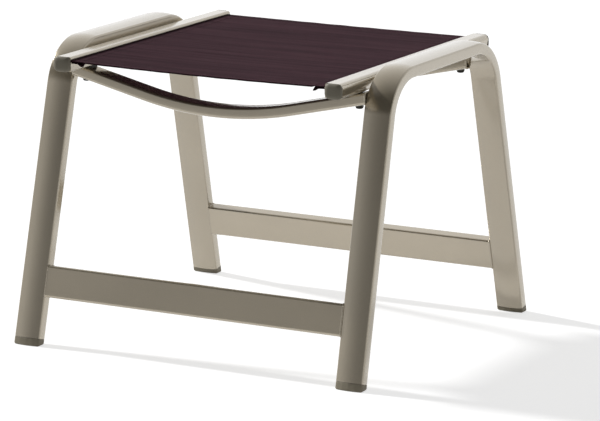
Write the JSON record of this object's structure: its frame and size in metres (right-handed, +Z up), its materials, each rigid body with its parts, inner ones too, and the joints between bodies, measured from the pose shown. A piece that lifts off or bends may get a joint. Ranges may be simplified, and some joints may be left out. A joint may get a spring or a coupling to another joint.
{
  "type": "footstool",
  "caption": "Low outdoor footstool with two bent flat-tube side frames, stretchers, bowed crossbars and a taut sling seat held in slotted rails.",
  "frame": {"origin": "on the floor, under the middle of the stool", "axes": "+X from the left side frame to the right one, +Y from front to back, +Z up"},
  "size_m": [0.5518, 0.5248, 0.4204],
  "materials": {
    "frame_tube": "satin champagne powder coat",
    "rail": "satin champagne powder coat",
    "moulded_plastic": "matt olive grey",
    "sling_cloth": "woven coated yarn, dark brown",
    "keder": "extruded, dark",
    "bolt": "blackened",
    "nut": "zinc plated"
  },
  "bodies": {
    "root": {"side_frame_left": "frame_tube", "side_frame_right": "frame_tube", "sling_rail_left": "rail", "sling_rail_right": "rail", "keder_rod_left": "keder", "keder_rod_right": "keder", "stretcher_front": "frame_tube", "stretcher_rear": "frame_tube", "crossbar_front": "frame_tube", "crossbar_rear": "frame_tube", "foot_cap_front_left": "moulded_plastic", "foot_cap_front_right": "moulded_plastic", "foot_cap_rear_left": "moulded_plastic", "foot_cap_rear_right": "moulded_plastic", "rail_cap_front_left": "moulded_plastic", "rail_cap_front_right": "moulded_plastic", "rail_cap_rear_left": "moulded_plastic", "rail_cap_rear_right": "moulded_plastic", "saddle_front_left": "moulded_plastic", "saddle_front_right": "moulded_plastic", "saddle_rear_left": "moulded_plastic", "saddle_rear_right": "moulded_plastic", "bevel_washer_front_left": "moulded_plastic", "bevel_washer_front_right": "moulded_plastic", "bevel_washer_rear_left": "moulded_plastic", "bevel_washer_rear_right": "moulded_plastic", "bolt_front_left": "bolt", "bolt_front_right": "bolt", "bolt_rear_left": "bolt", "bolt_rear_right": "bolt", "nut_plate_front_left": "nut", "nut_plate_front_right": "nut", "nut_plate_rear_left": "nut", "nut_plate_rear_right": "nut", "sling": "sling_cloth"}
  },
  "joints": []
}
